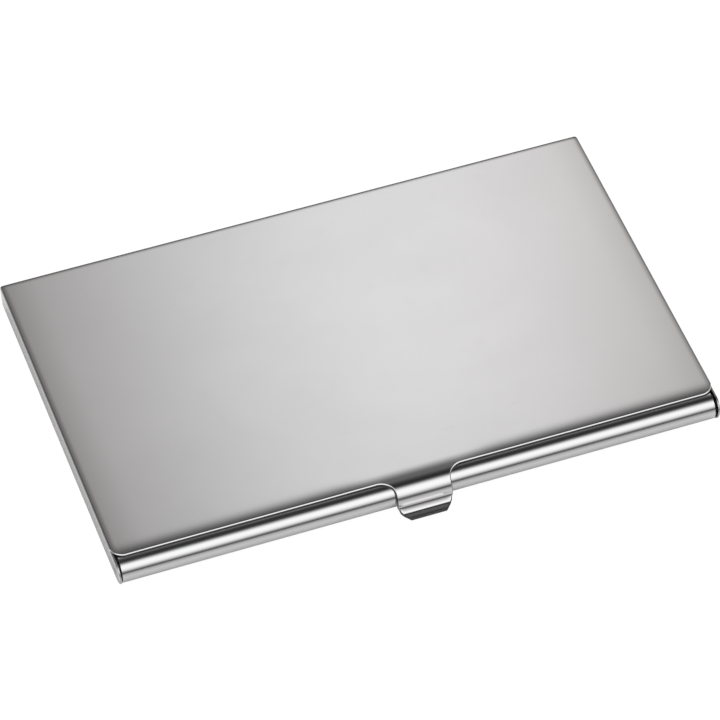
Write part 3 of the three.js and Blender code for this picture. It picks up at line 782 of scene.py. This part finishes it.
# ------------------------------------------------------------------ materials
class Nodes:
    """Short calls that add nodes to a cleared tree and return their output sockets."""

    def __init__(self, owner):
        owner.use_nodes = True
        self.tree = owner.node_tree
        self.tree.nodes.clear()

    def new(self, kind, **props):
        node = self.tree.nodes.new(kind)
        for key, value in props.items():
            setattr(node, key, value)
        return node

    def put(self, socket, value):
        if isinstance(value, bpy.types.NodeSocket):
            self.tree.links.new(value, socket)
        else:
            socket.default_value = value

    def attribute(self, name, output):
        return self.new("ShaderNodeAttribute", attribute_name=name).outputs[output]

    def split(self, vector):
        node = self.new("ShaderNodeSeparateXYZ")
        self.put(node.inputs[0], vector)
        return node.outputs

    def math(self, op, first, second=None, clamp=False):
        node = self.new("ShaderNodeMath", operation=op, use_clamp=clamp)
        self.put(node.inputs[0], first)
        if second is not None:
            self.put(node.inputs[1], second)
        return node.outputs[0]

    def times(self, value, by):
        return self.math("MULTIPLY", value, by)

    def add(self, value, mask, amount):
        """value + mask * amount"""
        return self.math("ADD", value, self.times(mask, amount))

    def vary(self, value, noise, amount):
        """value + (noise - 0.5) * amount"""
        return self.add(value, self.math("SUBTRACT", noise, 0.5), amount)

    def rest(self, mask):
        return self.math("SUBTRACT", 1.0, mask)

    def fade(self, value, start, end, low=0, high=1):
        """Smooth step from low at start to high at end."""
        node = self.new("ShaderNodeMapRange", interpolation_type="SMOOTHSTEP", clamp=True)
        self.put(node.inputs["Value"], value)
        for key, number in (("From Min", start), ("From Max", end), ("To Min", low),
                            ("To Max", high)):
            self.put(node.inputs[key], number)
        return node.outputs["Result"]

    def noise(self, vector, scale=1.0, detail=3.0, rough=0.5):
        node = self.new("ShaderNodeTexNoise")
        for key, value in (("Vector", vector), ("Scale", scale), ("Detail", detail),
                           ("Roughness", rough)):
            self.put(node.inputs[key], value)
        return node.outputs["Fac"]

    def stretch(self, vector, scale, turn=0):
        node = self.new("ShaderNodeMapping")
        self.put(node.inputs["Vector"], vector)
        node.inputs["Rotation"].default_value = (0, 0, turn)
        node.inputs["Scale"].default_value = scale
        return node.outputs["Vector"]

    def mix(self, mask, none, full):
        node = self.new("ShaderNodeMix", data_type="FLOAT")
        for i, value in enumerate((mask, none, full)):
            self.put(node.inputs[i and i + 1], value)
        return node.outputs[0]

    def mix_colour(self, mask, none, full):
        node = self.new("ShaderNodeMix", data_type="RGBA")
        for i, value in ((0, mask), (6, none), (7, full)):
            self.put(node.inputs[i], value)
        return node.outputs[2]

    def ramp(self, value, top, stops):
        """Piecewise curve through (position, level) stops; positions 0 to top, levels up to 2."""
        node = self.new("ShaderNodeValToRGB")
        curve = node.color_ramp
        curve.interpolation = "LINEAR"
        while len(curve.elements) > 1:
            curve.elements.remove(curve.elements[-1])
        for i, (position, level) in enumerate(stops):
            stop = curve.elements[0] if i == 0 else curve.elements.new(position / top)
            stop.position = position / top
            stop.color = grey(level / 2)
        self.put(node.inputs[0], self.math("DIVIDE", value, top))
        return self.times(node.outputs[0], by=2.0)


def grey(level):
    return (level, level, level, 1)


def shade(tint, factor):
    return tuple(c * factor for c in tint[:3]) + (1,)


def new_metal(name):
    mat = bpy.data.materials.new(name)
    g = Nodes(mat)
    out = g.new("ShaderNodeOutputMaterial")
    surface = g.new("ShaderNodeBsdfPrincipled")
    g.put(out.inputs[0], surface.outputs[0])
    surface.inputs["Metallic"].default_value = 1.0
    return mat, g, surface.inputs, g.attribute("dev", "Vector")


def add_relief(g, surface, height, strength):
    bump = g.new("ShaderNodeBump")
    bump.inputs["Strength"].default_value = strength
    bump.inputs["Distance"].default_value = 0.00002
    g.put(bump.inputs["Height"], height)
    g.put(surface["Normal"], bump.outputs[0])


def steel(name, tint, rough, inner_rough, line_scale, relief, seed,
          edge_tint=(0.86, 0.86, 0.85, 1), tab_burnish=0.105, ear_from=None):
    """Polished sheet: fine lines along X, hazy smudges, a few hairlines, bright sheared edges
    and a duller inside face. The cut edges get a dark torn band, partly a real dull torn zone and
    partly painted shade. The burnished depth of the cut on the tab is tab_burnish. ear_from turns
    on painted shade along the side fold, and on the inner face beyond that distance across."""
    mat, g, surface, dev = new_metal(name)
    edge = g.attribute("edge", "Fac")
    inner = g.attribute("inner", "Fac")
    shifted = g.new("ShaderNodeVectorMath", operation="ADD")
    g.put(shifted.inputs[0], dev)
    shifted.inputs[1].default_value = (seed * 17.3, seed * 9.1, seed)
    vec = shifted.outputs[0]
    lines = g.noise(g.stretch(vec, scale=(0.12, line_scale * 0.35, 1.0)), detail=4.0, rough=0.62)
    fine = g.noise(g.stretch(vec, scale=(0.5, line_scale * 1.4, 1.0)), detail=2.0)
    haze = g.noise(g.stretch(vec, scale=(0.05, 0.07, 1.0), turn=0.5), rough=0.55)
    patch = g.noise(g.stretch(vec, scale=(0.35, 0.3, 1.0), turn=-0.4), detail=4.0, rough=0.6)
    hair_one = g.noise(g.stretch(vec, scale=(0.16, 7.0, 1.0), turn=0.9), detail=2.0)
    hair_two = g.noise(g.stretch(vec, scale=(0.12, 6.0, 1.0), turn=-0.35), detail=2.0)
    hairs = g.math("MAXIMUM", g.fade(hair_one, start=0.74, end=0.80),
                   g.fade(hair_two, start=0.75, end=0.81))
    # roughness of the outer and inner faces
    gloss = g.vary(rough, haze, amount=0.02)
    gloss = g.vary(gloss, lines, amount=0.03)
    gloss = g.add(gloss, g.fade(patch, start=0.56, end=0.74), amount=0.008)
    gloss = g.add(gloss, hairs, amount=0.06)
    mill = g.noise(vec, scale=3.2, detail=6.0, rough=0.65)
    gloss = g.mix(inner, gloss, g.vary(inner_rough, mill, amount=0.06))
    # cut edges: burnished down to a depth that differs on the tab and its lip, torn below it; the
    # torn band is painted dark, partly as a real dull torn zone and partly as painted shade
    shear = g.noise(g.stretch(vec, scale=(3.0, 3.0, 40.0)), scale=1.6, rough=0.6)
    across, along, below = g.split(dev)
    burnish = g.mix(g.fade(along, start=-1.3, end=-0.2, low=1, high=0),
                    none=0.105, full=tab_burnish)
    burnish = g.mix(g.fade(along, start=-5.7, end=-5.1, low=1, high=0), burnish, full=-0.04)
    ears = g.fade(g.math("ABSOLUTE", across), start=46.2, end=46.6)
    depth = g.math("SUBTRACT", g.vary(below, shear, amount=0.05), burnish)
    on_edge = g.math("MULTIPLY", edge, 14.0, clamp=True)   # steepened mask of the cut
    torn_band_and_shade = g.times(on_edge, g.fade(depth, start=0, end=0.025))
    torn_band_and_shade = g.times(torn_band_and_shade, g.rest(g.times(ears, by=0.7)))
    gloss = g.mix(edge, gloss, g.fade(shear, start=0.3, end=0.7, low=0.12, high=0.24))
    gloss = g.mix(torn_band_and_shade, gloss, full=0.6)
    g.put(surface["Roughness"], gloss)
    # colour
    colour = g.mix_colour(g.fade(haze, start=0.3, end=0.7), tint, shade(tint, factor=0.985))
    colour = g.mix_colour(g.times(g.fade(lines, start=0.35, end=0.75), by=0.35),
                          colour, shade(tint, factor=1.03))
    colour = g.mix_colour(g.times(inner, by=0.8), colour, shade(tint, factor=0.90))
    if ear_from:
        far = g.math("ABSOLUTE", across)
        # painted shade: a dark band along the first part of the side bend
        fold = g.times(
            g.fade(far, start=LID_FOLD_X + 0.02, end=LID_FOLD_X + 0.1),
            g.fade(far, start=LID_FOLD_X + 0.34, end=LID_FOLD_X + 0.47, low=1, high=0))
        colour = g.mix_colour(g.times(fold, by=0.7), colour, grey(level=0.30))
        # painted shade on the inner face of the side walls and their ears, beyond ear_from
        inner_wall_shade = g.times(inner, g.fade(g.math("ABSOLUTE", across), start=ear_from,
                                       end=ear_from + 0.3, low=0, high=0.6))
        colour = g.mix_colour(inner_wall_shade, colour, grey(level=0.10))
    colour = g.mix_colour(edge, colour, edge_tint)
    # torn band painted near black: partly the real dull torn zone, partly painted shade
    colour = g.mix_colour(torn_band_and_shade, colour, grey(level=0.12))
    g.put(surface["Base Color"], colour)
    # relief
    height = g.math("ADD", g.times(lines, by=0.6), g.times(fine, by=0.4))
    height = g.math("SUBTRACT", height, g.times(hairs, by=0.5))
    height = g.mix(inner, height, g.math("ADD", g.times(mill, by=0.04), g.times(fine, by=0.2)))
    height = g.mix(edge, height, g.times(shear, by=1.6))
    add_relief(g, surface, height, relief)
    return mat


def turned_steel(name, tint, rough, spot_scale):
    """Lathe-turned metal: fine rings about the part's own axis, and faint spots."""
    mat, g, surface, dev = new_metal(name)
    rings = g.noise(g.stretch(dev, scale=(22.0, 22.0, 0.25)), rough=0.6)
    spots = g.noise(g.stretch(dev, scale=(2.0, 2.0, 1.0)), spot_scale, detail=4.0, rough=0.6)
    gloss = g.vary(rough, rings, amount=0.18)
    gloss = g.add(gloss, g.fade(spots, start=0.55, end=0.75), amount=0.1)
    g.put(surface["Roughness"], gloss)
    g.put(surface["Base Color"],
          g.mix_colour(g.fade(spots, start=0.3, end=0.7), tint, shade(tint, factor=0.86)))
    add_relief(g, surface, rings, strength=0.25)
    return mat


LID_MAT = steel("lid_polished_steel", tint=(0.845, 0.835, 0.844, 1), rough=0.13, inner_rough=0.27,
                line_scale=24.0, relief=0.05, seed=1.0, tab_burnish=0.02,
                ear_from=LID_FOLD_X + 0.3)
TRAY_MAT = steel("tray_polished_steel", tint=(0.830, 0.830, 0.833, 1), rough=0.145,
                 inner_rough=0.30, line_scale=20.0, relief=0.08, seed=2.0)
SPRING_MAT = steel("spring_blue_grey_steel", tint=(0.66, 0.65, 0.63, 1), rough=0.24,
                   inner_rough=0.28, line_scale=12.0, relief=0.2, seed=3.0,
                   edge_tint=(0.8, 0.79, 0.77, 1))
PIN_MAT = turned_steel("pin_turned_steel", tint=(0.42, 0.42, 0.43, 1), rough=0.30, spot_scale=1.0)
RIVET_MAT = turned_steel("rivet_headed_steel", tint=(0.84, 0.83, 0.815, 1), rough=0.36,
                         spot_scale=1.7)
for parts, mat in (([lid], LID_MAT), ([tray], TRAY_MAT), ([spring], SPRING_MAT),
                   (pins, PIN_MAT), (rivets, RIVET_MAT)):
    for ob in parts:
        ob.data.materials.clear()
        ob.data.materials.append(mat)

# ------------------------------------------------------------------ studio light
# The arch angle runs in degrees from the -Y horizon (0) over the zenith (90) to +Y (180).
# Main strip: (arch angle, brightness)
STRIP = [
    (0, 0.06), (5, 0.16), (10, 0.36), (15, 0.67), (20, 1.0), (27, 1.32), (34, 1.49), (46, 1.62),
    (54, 1.56), (59, 1.42), (63, 1.22), (67, 0.95), (72, 0.56), (75, 0.36), (79, 0.18), (83, 0.075),
    (88, 0.04), (93, 0.035), (98, 0.038), (104, 0.055), (109, 0.085), (112, 0.12), (130, 0.12),
    (145, 0.09), (158, 0.16), (170, 0.26), (180, 0.12)]
# Light behind, seen in the flat lid, across the studio: (direction x, brightness)
BEHIND_ACROSS = [
    (0, 0.06), (0.08, 0.10), (0.13, 0.20), (0.150, 0.31), (0.160, 0.42), (0.167, 0.53),
    (0.176, 0.67), (0.189, 0.83), (0.204, 1.03), (0.219, 1.145), (0.234, 1.22), (0.2485, 1.24),
    (0.263, 1.19), (0.277, 1.03), (0.287, 0.945), (0.2935, 0.87), (0.31, 0.68), (0.35, 0.38),
    (0.42, 0.18), (0.5, 0.10)]
# The same light up the arch: (arch angle past 100, share)
BEHIND_UP = [
    (0, 0), (12, 0), (15.6, 0.08), (17.6, 0.14), (19.6, 0.21), (21.2, 0.30), (22.6, 0.41),
    (24.2, 0.54), (26, 0.72), (27.1, 0.89), (27.8, 1.04), (30, 1.01), (33, 1.0), (35, 0.6),
    (37.5, 0.1), (50, 0)]
# Side walls: (elevation, brightness)
SIDE_WALLS = [(0, 0.14), (6, 0.3), (14, 0.85), (24, 1.15), (38, 1.05), (50, 0.5), (62, 0.14),
              (90, 0.05)]
REFLECTED = 1 / 1.383                    # scale of the studio in reflections
DIFFUSE_LEVEL, BACKDROP_LEVEL = 1.30, 1.05   # even light for diffuse rays and for the camera
WARMTH = (0.0, 0.022, 0.048)             # loss of red, green and blue in the warm part


def make_world():
    world = bpy.data.worlds.new("studio")
    bpy.context.scene.world = world
    w = Nodes(world)
    out = w.new("ShaderNodeOutputWorld")
    dx, dy, dz = w.split(w.new("ShaderNodeTexCoord").outputs["Generated"])
    arch = w.math("DEGREES", w.math("ARCTAN2", dz, w.times(dy, by=-1.0)))
    strip = w.ramp(arch, 180.0, STRIP)
    lobe = w.ramp(w.math("ADD", dx, 0.0), 0.5, BEHIND_ACROSS)
    gate = w.ramp(w.math("SUBTRACT", arch, 100.0), 50.0, BEHIND_UP)
    # trim the lower corners of the light behind
    trim = w.math(
        "ADD",
        w.times(w.fade(dx, start=0.235, end=0.285, low=0, high=0.18),
                w.fade(arch, start=127.7, end=130.5, low=1, high=0)),
        w.times(w.fade(dx, start=0.19, end=0.212, low=0.13, high=0),
                w.fade(arch, start=127.9, end=130.0, low=1, high=0)))
    behind = w.times(w.times(lobe, gate), w.rest(trim))
    # low pale cards at the back corners
    sides = w.math("ADD", w.fade(dx, start=-0.5, end=-0.28, low=1, high=0),
                   w.fade(dx, start=0.5, end=0.7))
    corner = w.times(sides, w.times(w.fade(arch, start=138, end=146, low=0, high=0.62),
                                    w.fade(arch, start=168, end=180, low=1, high=0.5)))
    behind = w.math("ADD", behind, corner)
    # pale ceiling card to the left, which lights the flat lid when it is seen from above
    ceiling = w.times(w.times(w.fade(dx, start=-0.06, end=0.07, low=0.75, high=0),
                              w.fade(dx, start=-0.34, end=-0.24)),
                      w.times(w.fade(arch, start=74, end=82),
                              w.fade(arch, start=110, end=120, low=1, high=0)))
    behind = w.math("ADD", behind, ceiling)
    side = w.ramp(w.math("DEGREES", w.math("ARCSINE", dz)), 90.0, SIDE_WALLS)
    on_side = w.fade(w.math("ABSOLUTE", dx), start=0.72, end=0.94)
    studio = w.mix(on_side, w.math("ADD", strip, behind), side)
    ray = w.new("ShaderNodeLightPath").outputs
    level = w.mix(ray["Is Diffuse Ray"], w.times(studio, REFLECTED), DIFFUSE_LEVEL)
    level = w.mix(ray["Is Camera Ray"], level, BACKDROP_LEVEL)
    # reflections from the back of the studio are warm, except round the light behind
    light_x = 0.225
    off_light = w.fade(w.math("ABSOLUTE", w.math("SUBTRACT", dx, light_x)), start=0.02, end=0.08)
    warm = w.times(off_light, w.times(ray["Is Glossy Ray"], w.fade(arch, start=105, end=118)))
    background = w.new("ShaderNodeBackground")
    colour = w.new("ShaderNodeCombineColor")
    for socket, loss in zip(colour.inputs, WARMTH):
        w.put(socket, w.times(level, w.rest(w.times(warm, loss))))
    w.put(background.inputs[0], colour.outputs[0])
    w.put(out.inputs[0], background.outputs[0])


# ------------------------------------------------------------------ floor
FLOOR_R_M = 6.0
# Floor albedo in reflections, with painted shade that darkens the floor towards grazing: (cosine from
# the vertical, albedo)
GRAZING = [(0, 0.07), (0.07, 0.21), (0.14, 0.33), (0.28, 0.47), (0.42, 0.565), (0.6, 0.625),
           (1.0, 0.64)]


def make_card():
    """Pale card: self-lit for the camera, and darker at grazing angles in reflections."""
    mat = bpy.data.materials.new("pale_card")
    g = Nodes(mat)
    out = g.new("ShaderNodeOutputMaterial")
    diffuse = g.new("ShaderNodeBsdfDiffuse")
    ray = g.new("ShaderNodeLightPath").outputs
    view = g.split(g.new("ShaderNodeNewGeometry").outputs["Incoming"])
    mirrored_tone = g.ramp(g.math("ABSOLUTE", view[2]), 1.0, GRAZING)
    place = g.split(g.new("ShaderNodeNewGeometry").outputs["Position"])
    # painted light: the floor is brighter to the left of the case, in reflections only
    mirrored_tone = g.times(mirrored_tone,
                            g.fade(place[0], start=-0.0500, end=-0.0464, low=1.42, high=1.0))
    fibre = g.noise(g.new("ShaderNodeTexCoord").outputs["Object"], scale=900.0, detail=4.0,
                    rough=0.6)
    seen = g.vary(0.10, fibre, amount=0.012)
    bounced = g.mix(ray["Is Glossy Ray"], none=0.9, full=mirrored_tone)
    albedo = g.mix(ray["Is Camera Ray"], bounced, seen)
    colour = g.new("ShaderNodeCombineColor")
    for k in range(3):
        g.put(colour.inputs[k], albedo)
    g.put(diffuse.inputs[0], colour.outputs[0])
    glow = g.new("ShaderNodeEmission")
    g.put(glow.inputs["Strength"], g.times(ray["Is Camera Ray"], by=0.95))
    both = g.new("ShaderNodeAddShader")
    g.put(both.inputs[0], diffuse.outputs[0])
    g.put(both.inputs[1], glow.outputs[0])
    g.put(out.inputs[0], both.outputs[0])
    return mat


def make_floor():
    mesh = bpy.data.meshes.new("studio_floor")
    z = CAD_LO.z - 0.00001
    angles = [2 * math.pi * i / 96 for i in range(96)]
    rim = [(FLOOR_R_M * math.cos(a), FLOOR_R_M * math.sin(a), z) for a in angles]
    mesh.from_pydata(rim, [], [tuple(range(96))])
    floor = bpy.data.objects.new("studio_floor", mesh)
    bpy.context.scene.collection.objects.link(floor)
    mesh.materials.append(make_card())


# ------------------------------------------------------------------ camera
# Pose in working millimetres: the rotation vector (radians) and shift that take a point into view
# axes, with x right, y down and z forward.
VIEW_TURN = np.array([2.39436859, -0.41861658, 0.16254638])
VIEW_SHIFT = np.array([8.44758003, 19.46008064, 661.33980883])


def make_camera():
    data = bpy.data.cameras.new("camera")
    cam = bpy.data.objects.new("camera", data)
    bpy.context.scene.collection.objects.link(cam)
    data.sensor_width = 36.0
    data.lens = 227.2491
    data.shift_x, data.shift_y = -0.000680556, 0.000652778
    data.clip_start, data.clip_end = 0.02, 50.0
    angle = float(np.linalg.norm(VIEW_TURN))
    x, y, z = VIEW_TURN / angle
    cross = np.array([[0, -z, y], [z, 0, -x], [-y, x, 0]])
    turn = np.eye(3) + math.sin(angle) * cross + (1 - math.cos(angle)) * (cross @ cross)
    centre = -turn.T @ VIEW_SHIFT
    pose = np.eye(4)
    pose[:3, :3] = turn.T @ np.diag([1.0, -1.0, -1.0])
    pose[:3, 3] = (centre + np.array([0, HINGE_Y, 0])) / 1000.0
    cam.matrix_world = Matrix(pose.tolist())
    bpy.context.scene.camera = cam


make_world()
make_floor()
make_camera()
bpy.context.scene.view_settings.view_transform = "Standard"
bpy.context.scene.view_settings.look = "None"

bpy.context.view_layer.update()
